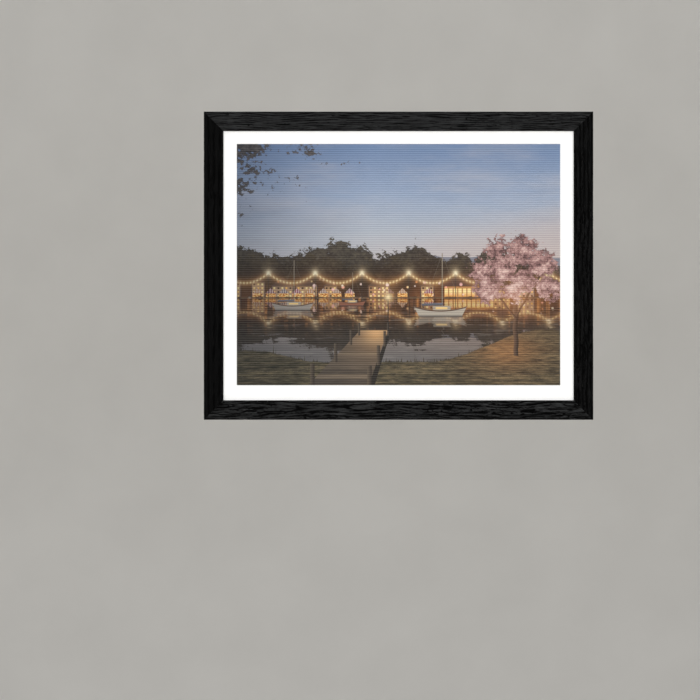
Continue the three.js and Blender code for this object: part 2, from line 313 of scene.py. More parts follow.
class Lattice:
    """Smooth random values from 0 to 1 over a plane, one lattice point per unit. Patterns that start well
    apart on it have nothing in common."""

    SIZE = 512

    def __init__(self, seed):
        self.values = np.random.default_rng(seed).random((self.SIZE, self.SIZE))

    def at(self, a, b, octaves=1):
        total = np.zeros(np.broadcast(a, b).shape)
        weight = 0
        for octave in range(octaves):
            share = 0.5**octave
            total += share * self.one(a * 2**octave + 17 * octave, b * 2**octave + 31 * octave)
            weight += share
        return total / weight

    def one(self, a, b):
        i, j = np.floor(a).astype(int), np.floor(b).astype(int)
        s, t = ((f * f * (3 - 2 * f)) for f in (a - i, b - j))
        i, j = i % self.SIZE, j % self.SIZE
        i1, j1 = (i + 1) % self.SIZE, (j + 1) % self.SIZE
        near = self.values[i, j] * (1 - s) + self.values[i1, j] * s
        far = self.values[i, j1] * (1 - s) + self.values[i1, j1] * s
        return near * (1 - t) + far * t


def ramp(values, low, high):
    """0 where a value is under low, 1 where it is over high, and smooth between."""
    t = np.clip((values - low) / (high - low), 0, 1)
    return t * t * (3 - 2 * t)


RABBET_WALL = 29.5 * MM  # thickness of the wood beside the sheets
LIP_THICKNESS = 6 * MM
OUTER_EDGE_RADIUS = 1.6 * MM
SIGHT_EDGE_RADIUS = 1.2 * MM
BACK_EDGE_RADIUS = 0.8 * MM
MITRE_GAP = 0.05 * MM  # at each side of the joint

# Distances between the points of a rail's mesh
FRONT_STEP = 0.5 * MM
SIDE_STEP = 0.9 * MM
BACK_STEP = 1.2 * MM
HIDDEN_STEP = 3 * MM
LENGTH_STEP = 1.7 * MM
ARC_POINTS = 6


def rail_section():
    """The rail's outline as points (from the outer edge, y), and the way out of the wood at each."""
    lip_back = FRONT + LIP_THICKNESS

    def arc(centre_x, centre_y, radius, start):
        angles = np.radians(np.linspace(start, start + 90, ARC_POINTS))
        return [(centre_x + radius * math.cos(a), centre_y + radius * math.sin(a)) for a in angles]

    def line(x0, y0, x1, y1, step):
        count = max(2, round(math.hypot(x1 - x0, y1 - y0) / step))
        return [(x0 + (x1 - x0) * i / count, y0 + (y1 - y0) * i / count) for i in range(1, count)]

    back, outer, sight = BACK_EDGE_RADIUS, OUTER_EDGE_RADIUS, SIGHT_EDGE_RADIUS
    points = [(RABBET_WALL, BACK)]
    points += line(RABBET_WALL, BACK, back, BACK, BACK_STEP)
    points += arc(back, BACK - back, back, 90)
    points += line(0, BACK - back, 0, FRONT + outer, SIDE_STEP)
    points += arc(outer, FRONT + outer, outer, 180)
    points += line(outer, FRONT, FACE_WIDTH - sight, FRONT, FRONT_STEP)
    points += arc(FACE_WIDTH - sight, FRONT + sight, sight, 270)
    points += line(FACE_WIDTH, FRONT + sight, FACE_WIDTH, lip_back, SIDE_STEP)
    points += [(FACE_WIDTH, lip_back), (RABBET_WALL, lip_back)]
    points += line(RABBET_WALL, lip_back, RABBET_WALL, BACK, HIDDEN_STEP)
    points = np.array(points)
    along = np.roll(points, -1, axis=0) - np.roll(points, 1, axis=0)
    along /= np.linalg.norm(along, axis=1)[:, None]
    return points, np.stack([along[:, 1], -along[:, 0]], axis=1)


# Each rail's wood, in mm: where its growth rings are centred (from the outer edge, and behind the face),
# how far that centre drifts along the rail, the rings' spacing and ripple. Then how open its pores are, from
# 0 to 1, how much light its stained face gives back, and how uneven the stain is. That tone is partly painted
# light: the top and bottom rails are set far lighter than the sides, for the light from above that grain
# running along them catches.
WOODS = {
    "top": dict(
        seed=3, heart=(-40, 25), drift=(5, 6), spacing=3.7, ripple=5, pores=0.3, tone=0.83, uneven=1.6
    ),
    "bottom": dict(
        seed=8, heart=(20, 9), drift=(9, 12), spacing=4.3, ripple=6.5, pores=0.8, tone=0.33, uneven=6.8
    ),
    "left": dict(
        seed=21, heart=(-34.8, 6), drift=(1, 2), spacing=10.2, ripple=2.5, pores=0.4, tone=0.045, uneven=3.2
    ),
    "right": dict(
        seed=34, heart=(70, 30), drift=(4, 5), spacing=6.5, ripple=3.5, pores=1.0, tone=0.062, uneven=6.6
    ),
}
REAR_LIT_TONE = 1.1  # of the outer sides and the back, set lighter and more even than the faces; on the outer sides, which the lights only graze, this is painted light
REAR_UNEVEN = 0.8
GROOVE_DEPTH = 0.3 * MM
PORE_DEPTH = 0.3 * MM
PLANED_SHARE = 0.15  # of those depths, in the rabbet and on the back, which aren't brushed
WORN_WIDTH = 1.6 * MM  # of the stripes along the front edges where the stain is rubbed
WORN_LENGTH = 20 * MM
HAIR = 0.01 * MM  # allowed for when points are told apart by where they lie


def grain(wood, along, across, y, path):
    """How deep the brushed grain is, from 0 to 1, and how open the pores are, at each point of a rail."""
    lattice = Lattice(wood["seed"])

    def pattern(length, width, start, octaves):
        """Random values that change within a length along the grain and a width across it, in mm."""
        return lattice.at(along / (length * MM), path / (width * MM) + start, octaves)

    wander_x = lattice.at(along / (110 * MM), 3.3, 2) - 0.5
    wander_y = lattice.at(along / (150 * MM), 91.7, 2) - 0.5
    from_heart = across - (wood["heart"][0] + 2 * wood["drift"][0] * wander_x) * MM
    behind = y - FRONT - (wood["heart"][1] + 2 * wood["drift"][1] * wander_y) * MM
    rings = np.hypot(from_heart, behind) / MM
    rings += wood["ripple"] * (pattern(40, 11, 40, 3) - 0.5)
    phase = rings / wood["spacing"]
    phase -= np.floor(phase)
    early = ramp(phase, 0.0, 0.2) * (1 - ramp(phase, 0.28, 0.62))  # the soft part of each ring
    early *= 0.15 + 0.85 * ramp(pattern(13, 3, 0, 2), 0.3, 0.65)
    fibre = pattern(30, 1.3, 7, 2)
    specks = ramp(pattern(4.2, 1.6, 200, 1), 0.9 - 0.25 * wood["pores"], 0.97)
    specks *= 0.2 + 0.8 * ramp(pattern(50, 8, 300, 1), 0.35, 0.65)
    return np.clip(0.85 * early + 0.4 * fibre - 0.12, 0, 1), specks


def rail_mesh(side):
    """One rail, its outline swept between the mitres and its faces brushed along the grain."""
    wood = WOODS[side]
    points, normals = rail_section()
    length = (RIGHT - LEFT) if side in ("top", "bottom") else (TOP - BOTTOM)
    columns = round(length / LENGTH_STEP)
    across, y = points[:, 0], points[:, 1]
    steps = np.linalg.norm(np.diff(points, axis=0), axis=1)
    path = np.concatenate([[0], np.cumsum(steps)])
    reach = length / 2 - across - MITRE_GAP
    along = np.linspace(-1, 1, columns)[:, None] * reach[None, :]
    depth, specks = grain(wood, along, across, y, path)
    planed = (y > FRONT + LIP_THICKNESS - HAIR) & (across > HAIR)
    sink = np.where(planed, PLANED_SHARE, 1) * (GROOVE_DEPTH * depth + PORE_DEPTH * specks)
    across_cut = across - normals[:, 0] * sink
    y_cut = y - normals[:, 1] * sink

    out_x, out_z, middle_x, middle_z = {
        "top": (0, 1, MIDDLE.x, TOP),
        "bottom": (0, -1, MIDDLE.x, BOTTOM),
        "left": (-1, 0, LEFT, MIDDLE.z),
        "right": (1, 0, RIGHT, MIDDLE.z),
    }[side]
    x = middle_x - out_x * across_cut + out_z * along
    z = middle_z - out_z * across_cut - out_x * along
    vertices = np.stack([x, y_cut, z], axis=-1).reshape(-1, 3)

    count = len(points)
    i = np.arange(columns - 1)[:, None] * count
    j = np.arange(count)[None, :]
    k = (j + 1) % count
    quads = np.stack([i + j, i + k, i + count + k, i + count + j], axis=-1).reshape(-1, 4)
    ends = [list(range(count - 1, -1, -1)), list(range((columns - 1) * count, columns * count))]
    mesh = new_mesh(f"{side}_rail_brushed", vertices.tolist(), quads.tolist() + ends)

    corner = np.minimum(np.hypot(across, y - FRONT), np.hypot(across - FACE_WIDTH, y - FRONT))
    rubbed = Lattice(wood["seed"] + 1).at(along / WORN_LENGTH, 0.5, 3)
    worn = np.exp(-((corner / WORN_WIDTH) ** 2)) * rubbed
    # The outer sides and the back get the lighter rear tone, which on the outer sides is painted light.
    outer_side = (across < 10 * HAIR) & (y > FRONT + OUTER_EDGE_RADIUS - 10 * HAIR)
    rear = np.broadcast_to(outer_side | (y > BACK - BACK_EDGE_RADIUS), along.shape)
    # The tone layer paints light as well as stain: the top and bottom rails' faces are set lighter than the
    # sides'.
    for name, values in {
        "groove": np.clip(depth + specks, 0, 1),
        "worn": worn,
        "tone": np.where(rear, REAR_LIT_TONE, wood["tone"]),
        "uneven": np.where(rear, REAR_UNEVEN, wood["uneven"]),
        "along": along,
        "path": np.broadcast_to(path, along.shape),
    }.items():
        layer = mesh.attributes.new(name, "FLOAT", "POINT")
        layer.data.foreach_set("value", values.astype(np.float32).ravel())
    return mesh


MEAN_RIDGE = 0.62
RIDGE_SHARE, CLOUD_SHARE = 1.3, 2.2  # of what makes the stain uneven
WOOD_SHOWS = 0.13  # of the pale wood, through the stain of a rail whose tone is 1
WORN_SHOWS = 0.08  # of it, where the stain is rubbed


def stained_wood():
    """Black stain that lies deep in the grain and thin on the ridges, with light painted in by the tone
    layer: the top and bottom rails lighter than the sides.
    """
    g = Graph("black_stained_wood")
    strip = g.point(g.attribute("along"), g.attribute("path"))
    groove, uneven = g.attribute("groove"), g.attribute("uneven")
    fibre = g.noise(g.spread(strip, (45, 1100, 1)), detail=4)
    pore = g.noise(g.spread(strip, (130, 2600, 1), (0, 0, 4.2)), detail=2).over(0.6, 0.72)
    cloud = g.noise(g.spread(strip, (22, 200, 1), (0, 0, 9.1)), detail=4, roughness=0.65)
    ridge = (1 - groove * 0.95).most(0) * (1 - pore * 0.5) * (fibre * 1.3 + 0.35)
    thin = ((ridge - MEAN_RIDGE) * RIDGE_SHARE + (cloud - 0.5) * CLOUD_SHARE) * uneven + (0.8 - uneven * 0.12)
    # The tone layer is partly painted light, lifting the top and bottom rails and the outer sides above the
    # side rails' faces.
    wood_and_painted_light = thin.most(0.05) * g.attribute("tone") * WOOD_SHOWS + g.attribute("worn") * WORN_SHOWS
    colour = g.mix(wood_and_painted_light, (2, 2, 2), (96, 97, 98))
    roughness = 0.5 + fibre * 0.16 + groove * 0.2
    normal = g.bump(fibre * 0.6 - pore, 0.06 * MM)
    return g.surface(colour, roughness, normal, specular=0.02)


wood_material = stained_wood()
for side in WOODS:
    add_piece(f"{side}_rail_brushed", rail_mesh(side), wood_material, "black_wood", f"{side}_rail")


# Sheets

MAT_OVERLAP = 4.7625 * MM  # of the mat over each edge of the print
MAT_EDGE = 0.2 * MM  # taken off the mat's outer edges
ARRIS = ((0.25, 0), (0.05, 0.04), (-0.14, 0.2))  # in mm, out from where the bevel ends and behind the face
PRINT_SQUARES = (96, 72)
PRINT_COCKLE = 0.25 * MM
COCKLES = (5, 4)  # across the print and up it
FLAT_SHARE = 12  # of the print's width and height, one part in so many lies flat along the edges
GLASS_IOR = 1.5
UNMIRRORED = 0.048  # share of the light that the glazing's coating keeps from being mirrored


def rectangle(node, inset=0.0):
    low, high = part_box(node)
    return low.x + inset, high.x - inset, low.z + inset, high.z - inset


def mat_mesh():
    """The window mat: its outline, and the window with its bevel, whose front arris is barely rounded."""
    low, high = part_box("window_mat")
    thickness = high.y - low.y
    left, right, bottom, top = rectangle("art_print", MAT_OVERLAP)

    def opened(by, y):
        return left - by, right + by, bottom - by, top + by, y

    return ring_mesh(
        "window_mat_bevelled",
        [
            (*rectangle("window_mat", MAT_EDGE), low.y),
            *(opened(thickness + out * MM, low.y + behind * MM) for out, behind in ARRIS),
            opened(0, high.y),
            (*rectangle("window_mat", MAT_EDGE), high.y),
            (*rectangle("window_mat"), high.y - MAT_EDGE),
            (*rectangle("window_mat"), low.y + MAT_EDGE),
        ],
    )


def print_mesh():
    """The printed sheet, a little cockled between the points where it is fixed."""
    low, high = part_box("art_print")
    lattice = Lattice(5)
    solid = bmesh.new()
    columns, rows = PRINT_SQUARES
    grid = bmesh.ops.create_grid(solid, x_segments=columns, y_segments=rows, size=0.5)
    for vertex in grid["verts"]:
        a, b = vertex.co.x, vertex.co.y
        free = min(1, FLAT_SHARE * (0.5 - abs(a)), FLAT_SHARE * (0.5 - abs(b)))
        place = np.float64(COCKLES[0] * a + 9), np.float64(COCKLES[1] * b + 9)
        lift = PRINT_COCKLE * free * (lattice.at(*place, 2) - 0.5)
        x = (low.x + high.x) / 2 + a * (high.x - low.x)
        z = (low.z + high.z) / 2 + b * (high.z - low.z)
        vertex.co = (x, low.y + lift, z)
    faces = solid.faces[:]
    bmesh.ops.recalc_face_normals(solid, faces=faces)
    extruded = bmesh.ops.extrude_face_region(solid, geom=faces)
    for item in extruded["geom"]:
        if isinstance(item, bmesh.types.BMVert):
            item.co.y = high.y
    return mesh_of("art_print_sheet", solid)


def mat_board():
    g = Graph("white_mat_board")
    tooth = g.noise(g.spread(g.place, 1700), detail=4)
    mottle = g.noise(g.spread(g.place, 60), detail=2)
    colour = g.colours(tooth * 0.5 + mottle * 0.5, (0.3, (243, 242, 241)), (0.7, (249, 248, 247)))
    return g.surface(colour, 0.82 + tooth * 0.1, g.bump(tooth, 0.05 * MM, 0.6), specular=0.15)


def clear_glazing():
    """A clear sheet with a coating that keeps it from mirroring what faces it."""
    g = Graph("clear_glazing")
    clear = g.add("ShaderNodeBsdfTransparent", (0.988, 0.99, 0.989, 1))
    smudge = g.noise(g.spread(g.place, 9), detail=4).over(0.45, 0.8)
    gloss = g.add("ShaderNodeBsdfGlossy", (0.9, 0.92, 0.95, 1), smudge * 0.05 + 0.02)
    inside = Field(g, g.add_node("ShaderNodeNewGeometry").outputs["Backfacing"])
    share = (Field(g, g.add("ShaderNodeFresnel", GLASS_IOR)) - UNMIRRORED).most(0) * (1 - inside)
    g.feed(g.output.inputs["Surface"], g.add("ShaderNodeMixShader", share, clear, gloss))
    return g.material


add_piece("window_mat_bevelled", mat_mesh(), mat_board(), "white_mat", "window_mat")
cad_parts["glazing"].material_slots[0].material = clear_glazing()


# The print: a generic lake shore at dusk, all of it drawn by formulas


def glow(offset_u, offset_v, radius):
    """1 at a lamp's centre, and falling off smoothly round it. The offsets are from that centre."""
    return ((offset_u * offset_u + offset_v * offset_v) * (1 / radius**2) + 1) ** -1.5


def within(value, low, high, soft):
    return value.over(low - soft, low + soft) * value.over(high + soft, high - soft)


class Painting:
    """A graph with a colour that is painted over step by step. Lengths are in heights of the picture."""

    def __init__(self, name):
        g = self.g = Graph(name)
        low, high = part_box("art_print")
        height = high.z - low.z
        left, bottom = (low.x + high.x) / 2 / height, low.z / height
        self.u = g.x * (1 / height) - left  # from the middle, to the right
        self.v = g.z * (1 / height) - bottom  # from the bottom up
        self.plane = g.spread(g.place, (1 / height, 0, 1 / height), (-left, -bottom, 0), -math.pi / 2)
        self.colour = None

    def paint(self, mask, colour, blend="MIX"):
        self.colour = self.g.mix(mask, self.colour, colour, blend)

    def noise(self, plane, scale, seed, offset=(0.0, 0.0), detail=3.0, roughness=0.55, gain=1.0):
        """Noise over a plane, so many lumps across and up. Fine noise lies close to 0.5, so it has a gain."""
        place = self.g.spread(plane, (*scale, 0.0), (*offset, seed))
        noise = self.g.noise(place, detail, roughness)
        return noise if gain == 1 else (noise - 0.5) * gain + 0.5


SHORE = 0.365  # the far shoreline, which the water mirrors
HORIZON = 0.43  # where the lines of perspective meet
SOFT_EDGE = 0.0015  # over which most of the painted edges go from one side to the other


def paint_sky(p, u, v, plane):
    p.colour = p.g.colours(
        v,
        (0.48, (195, 188, 188)),
        (0.62, (184, 190, 201)),
        (0.78, (157, 173, 199)),
        (1, (113, 137, 175)),
    )
    veil = p.noise(plane, (1.1, 4.6), 1.1, (4, 0), detail=7, roughness=0.62)
    p.paint(veil.over(0.45, 0.72) * v.over(0.46, 0.62) * 0.5, (200, 196, 200))
    under = p.noise(plane, (1.1, 4.6), 1.1, (4.07, 0.16), detail=5, roughness=0.62)
    p.paint(under.over(0.5, 0.8) * v.over(0.46, 0.62) * 0.4, (124, 134, 154))
    p.paint((v - u * 0.12).over(0.7, 0.52) * u.over(-0.35, 0.6) * 0.5, (212, 188, 178))


def paint_hills(p, v, plane):
    far = p.noise(plane, (1.5, 0), 3.0, (2, 0), detail=4) * 0.12 + 0.468
    p.paint((far - v).over(0, 0.003), (132, 134, 146))
    p.paint((far - v).over(0.01, 0.06) * 0.5, (156, 152, 154))
    near = p.noise(plane, (2.3, 0), 5.0, (7, 0), detail=6) * 0.13 + 0.425
    slope = p.noise(plane, (22, 30), 6.0, detail=5)
    hill = (near - v + (slope - 0.5) * 0.006).over(0, 0.003)
    p.paint(hill, p.g.colours(slope, (0.3, (74, 70, 72)), (0.7, (108, 101, 98))))


# Rows of trees, back to front: how high their crowns stand, how much that varies, how big the crowns are, and
# the colours of their shade and of their light
TREES = (
    (0.1, 0.24, 11, (46, 42, 39), (92, 84, 72)),
    (0.07, 0.18, 16, (33, 29, 25), (84, 74, 57)),
    (0.02, 0.13, 22, (24, 21, 17), (76, 62, 44)),
)


def paint_wood(p, u, v, plane):
    """Trees on the far shore."""
    for row, (base, rise, crowns, dark, light) in enumerate(TREES):
        seed = 10.0 + 3 * row
        mass = p.noise(plane, (3.4, 0), seed, (row, 0), detail=4) * rise
        crown, _ = p.g.cells(p.g.spread(plane, (crowns, crowns * 0.8, 0), (row * 5, row, 0)))
        leaves = p.noise(plane, (48, 60), seed, detail=6, roughness=0.75, gain=2.6)
        top = mass + leaves * 0.05 - crown * (0.9 / crowns) + (SHORE + base) - u.over(0.0, 0.6) * 0.06
        shade = leaves * 0.9 - crown * 0.55 + (v - SHORE) * 1.2 + 0.15
        p.paint((top - v).over(-0.001, 0.003), p.g.colours(shade, (0.3, dark), (0.95, light)))


PLOT = 0.098  # width of the ground that a house stands on
HOUSE_STOREY = 0.0155
WINDOWS_PER_PLOT = 6
TILE_PITCH = 0.0026


def paint_houses(p, u, rise):
    """Houses with lit windows."""
    g = p.g
    plot = u * (1 / PLOT) + 0.31
    number = plot.floor()
    across = plot.fraction() - 0.5
    side = abs(across)
    wide = g.random(number + 200).over(0.4, 0.41) * (1 / WINDOWS_PER_PLOT) + 0.26
    tall = g.random(number + 100).over(0.5, 0.51) * HOUSE_STOREY + (3 * HOUSE_STOREY + 0.002)
    built = g.random(number + 300).over(0.2, 0.21)
    eaves = wide + 0.05 - side
    roof = built * (tall + eaves * 0.075 - rise).over(0, SOFT_EDGE) * eaves.over(0, 0.02)
    tiles = (rise * (1 / TILE_PITCH)).fraction()
    p.paint(roof, g.colours(tiles, (0.1, (66, 49, 44)), (0.8, (98, 74, 64))))
    chimney = built * within(across, 0.1, 0.15, 0.008) * (tall + 0.026 - rise).over(0, SOFT_EDGE)
    p.paint(chimney, (92, 68, 58))
    wall = built * (wide - side).over(0, 0.015) * (tall - rise).over(0, SOFT_EDGE)
    p.paint(wall, g.colours(
        g.random(number + 400),
        (0, (158, 110, 76)),
        (0.5, (196, 154, 112)),
        (1, (168, 138, 118)),
    ))
    p.paint(wall * (rise - tall + 0.016).over(0, 0.016) * 0.6, (84, 62, 48))
    column, storey = across * WINDOWS_PER_PLOT + 0.5, rise * (1 / HOUSE_STOREY)
    chance = g.random(column.floor() + number * 7 + storey.floor() * 71 + 0.5)
    pane = within(column.fraction(), 0.27, 0.73, 0.06) * within(storey.fraction(), 0.3, 0.78, 0.06)
    p.paint(wall * pane, (64, 49, 40))
    p.paint(wall * pane * chance.over(0.3, 0.31), g.colours(
        chance,
        (0.3, (255, 190, 96)),
        (0.7, (255, 232, 168)),
        (1, (255, 212, 136)),
    ))


STALL_PITCH = 0.0535


def paint_stalls(p, u, rise, plane):
    """A row of lit stalls in front of the houses."""
    g = p.g
    stall = u * (1 / STALL_PITCH) + 0.2
    pick = g.random(stall.floor())
    here = pick.over(0.16, 0.17) * u.over(0.15, 0.149)
    aside = abs(stall.fraction() - 0.5)
    counter = here * (0.38 - aside).over(0, 0.02) * (0.0185 - rise).over(0, 0.001)
    wares = p.noise(plane, (130, 210), 36.0, detail=2)
    p.paint(counter, g.colours(wares, (0.34, (120, 62, 34)), (0.48, (232, 150, 72)), (0.62, (255, 226, 152))))
    canopy = (0.04 - rise - aside * 0.052).over(0, 0.001) * (rise - 0.0178).over(0, 0.0012)
    canopy = canopy * here * (0.44 - aside).over(0, 0.02)
    p.paint(canopy, g.colours(
        pick,
        (0.2, (150, 74, 78)),
        (0.4, (84, 96, 126)),
        (0.62, (184, 132, 78)),
        (0.9, (150, 70, 98)),
    ))
    stripe = within((stall.fraction() * 6).fraction(), 0.5, 1.0, 0.04)
    p.paint(canopy * stripe * 0.8, (214, 196, 184))


CAFE_U = 0.285
CAFE_BAY = 0.0185
CAFE_FRONT = 0.045  # height of the wall that its roof sits on


def paint_cafe(p, u, rise, plane):
    """A lakeside cafe, and bushes and a quay along the shore."""
    g = p.g
    x = abs(u - CAFE_U)
    hip = (0.082 - rise - (x - 0.06).most(0) * 0.55).over(0, SOFT_EDGE)
    hip = hip * (rise - CAFE_FRONT).over(0, SOFT_EDGE)
    p.paint(hip * (0.118 - x).over(0, 0.002), (84, 56, 48))
    front = (0.1 - x).over(0, SOFT_EDGE) * (0.047 - rise).over(0, SOFT_EDGE)
    p.paint(front, (190, 132, 80))
    bay = (u * (1 / CAFE_BAY)).fraction()
    p.paint(front * within(bay, 0.14, 0.86, 0.05) * within(rise, 0.006, 0.039, SOFT_EDGE), g.colours(
        rise * (1 / CAFE_FRONT),
        (0.1, (242, 166, 84)),
        (0.6, (255, 232, 166)),
        (0.95, (255, 206, 120)),
    ))
    bushes = p.noise(plane, (26, 0), 31.0, detail=5) * 0.026 - 0.008
    p.paint((bushes - rise).over(0, 0.003), (38, 33, 28))
    p.paint((0.0035 - rise).over(0, 0.001) * 0.8, (124, 96, 70))


GLOW_HEIGHT = 0.045  # at which the glow over the far shore has halved


def paint_town(p, u, v, plane):
    rise = v - SHORE
    haze = ((rise * (1 / GLOW_HEIGHT)) * (rise * (1 / GLOW_HEIGHT)) + 1) ** -1
    p.paint(haze * p.noise(plane, (4, 0), 33.0).over(0.2, 0.75) * 0.34, (206, 124, 66), "SCREEN")
    paint_houses(p, u, rise)
    paint_stalls(p, u, rise, plane)
    paint_cafe(p, u, rise, plane)


POST_PITCH = 0.19
POST_HEIGHT = 0.1
STRING_SAG = 0.04
BULB_PITCH = 0.0135


def paint_lamps(p, u, v, plane):
    """Far lamps among the trees, and strings of lamps on posts along the shore."""
    g = p.g
    rise = v - SHORE
    for size, seed in ((27.0, 0.0), (41.0, 5.0)):
        distance, tint = g.cells(g.spread(plane, (size, size, 0), (seed, 0, 0)))
        pick = g.red(tint)
        disc = distance.over(0.25, 0.12) * pick.over(0.5, 0.51) * within(rise, 0.008, 0.07, 0.02)
        p.paint(disc * 0.9, g.colours(
            pick,
            (0.5, (255, 206, 120)),
            (0.68, (255, 244, 226)),
            (0.84, (255, 196, 190)),
            (1, (255, 160, 96)),
        ))
    span = u * (1 / POST_PITCH) + 0.28
    post = (span.fraction() - 0.5) * POST_PITCH
    upright = within(post, -0.0012, 0.0012, 0.0008) * within(rise, -0.01, POST_HEIGHT, 0.001)
    p.paint(upright, (58, 48, 42))
    between = (span + 0.5).fraction()
    wire = rise - POST_HEIGHT + between * (1 - between) * (4 * STRING_SAG)
    bulb = ((u * (1 / BULB_PITCH)).fraction() - 0.5) * BULB_PITCH
    p.paint(glow(bulb, wire, 0.0042), (255, 226, 168), "SCREEN")
    p.paint(glow(bulb * 0.4, wire, 0.014) * 0.32, (255, 168, 92), "SCREEN")
    p.paint(glow(post, rise - (POST_HEIGHT + 0.002), 0.01), (255, 238, 200), "SCREEN")


def paint_water(p, wave, depth, wet):
    """The water's own colour over what it mirrors, and the lamps' long broken streaks."""
    p.paint(wet, (0.66, 0.59, 0.53, 1), "MULTIPLY")
    p.paint(wet * depth.over(0.04, 0.24) * 0.6, (62, 57, 53))
    p.paint(wet * wave.over(0.05, 0.13) * 0.22, (168, 156, 148))
    p.paint(wet * wave.over(-0.04, -0.13) * 0.4, (46, 42, 39))
    lamps = p.noise(p.plane, (34, 0), 71.0).over(0.48, 0.68)
    streaks = wet * lamps * depth.over(0.17, 0.0) * wave.over(-0.06, 0.05) * 0.75
    p.paint(streaks, (240, 156, 84), "SCREEN")


# Each moored boat: where it lies, its length and its colour
BOATS = (
    (-0.43, 0.315, 0.15, (160, 150, 140)),
    (0.17, 0.29, 0.19, (182, 172, 158)),
    (-0.19, 0.333, 0.10, (142, 92, 72)),
)


def paint_boat(p, at_u, at_v, size, hull, ripple):
    """A moored sailing boat and its broken reflection, both from the same outline."""
    g = p.g
    above = p.v - at_v
    under = (at_v - p.v).over(0, 0.001)
    x = (p.u + ripple * under * 0.6 - at_u) * (1 / size)
    y = abs(above) * (1 / size)
    seen = 1 - under * 0.62
    sheer = x * x * 0.28 + 0.13
    dry = 1 - under
    mast = within(x, 0.03, 0.05, 0.005) * within(y, -0.1, 1.35, 0.01)
    p.paint(mast * dry, (150, 136, 118))
    p.paint(mast * under * (0.9 - y).over(0, 0.8) * 0.5, (112, 100, 88))
    stay = abs(x - 0.04) + y * 0.36
    p.paint(within(stay, 0.478, 0.486, 0.005) * within(y, 0.1, 1.25, 0.02) * dry * 0.6, (122, 110, 96))
    furled = within(x, -0.4, 0.05, 0.02) * within(y - x * 0.03, 0.235, 0.285, 0.012)
    p.paint(furled * dry, g.colours(y, (0.235, (72, 74, 84)), (0.285, (124, 128, 140))))
    cabin = within(x, -0.16, 0.22, 0.015) * within(y, 0, 0.225, 0.008)
    p.paint(seen * cabin, (172, 160, 144))
    window = within(x, -0.1, 0.15, 0.015) * within(y, 0.155, 0.195, 0.006)
    p.paint(seen * window, (255, 214, 140))
    body = (sheer - y).over(0, 0.012) * (0.47 + y * 0.5 - abs(x)).over(0, 0.02)
    p.paint(seen * body, hull)
    strake = body * (y - sheer + 0.035).over(0, 0.01)
    p.paint(seen * strake, (92, 64, 50))
    p.paint(body * (0.03 - y).over(0, 0.02) * 0.7, (52, 50, 52))


def paint_bank(p, ground):
    """The near bank, low on the left and higher on the right, with reeds along its edge."""
    g, u, v = p.g, p.u, p.v
    lumps = p.noise(p.plane, (5, 0), 41.0, detail=4) * 0.045
    edge = lumps + u.over(0.12, 0.6) * 0.13 + u.over(-0.3, -0.67) * 0.05 + 0.085
    blade = p.noise(p.plane, (190, 7), 43.0, detail=2)
    height = p.noise(p.plane, (9, 0), 44.0, detail=2) * 0.06
    land = (edge - v).over(0, 0.004)
    reeds = (edge + blade.over(0.5, 0.8) * height - v).over(0, 0.006)
    p.paint(reeds, g.colours(blade, (0.4, (38, 33, 27)), (0.7, (78, 68, 52))))
    turf = p.noise(ground, (6, 15), 45.0, detail=7, roughness=0.72, gain=2.6)
    patch = p.noise(ground, (1.1, 3.4), 46.0, gain=2)
    p.paint(land, g.colours(
        turf * 0.65 + patch * 0.35,
        (0.25, (40, 38, 30)),
        (0.5, (80, 73, 56)),
        (0.8, (128, 112, 84)),
    ))
    flowers, _ = g.cells(g.spread(ground, (24, 60, 0)))
    p.paint(land * flowers.over(0.16, 0.1) * patch.over(0.45, 0.6) * 0.8, (186, 164, 140))
    warm = glow((u - 0.44) * 0.55, v - 0.15, 0.07)
    p.paint(land * warm * (turf * 0.8 + 0.1), (190, 132, 82))


JETTY_U = 0.03  # where its lines meet on the horizon
JETTY_LEFT, JETTY_RIGHT = -0.95, -0.36  # how far each edge goes aside for each step below the horizon
JETTY_END = 0.195  # distance below the horizon
JETTY_POSTS = ((JETTY_LEFT, (0.4, 0.3, 0.235, 0.2)), (JETTY_RIGHT, (0.41, 0.31, 0.24, 0.2)))
JETTY_LAMP = 0.2  # distance of its foot below the horizon


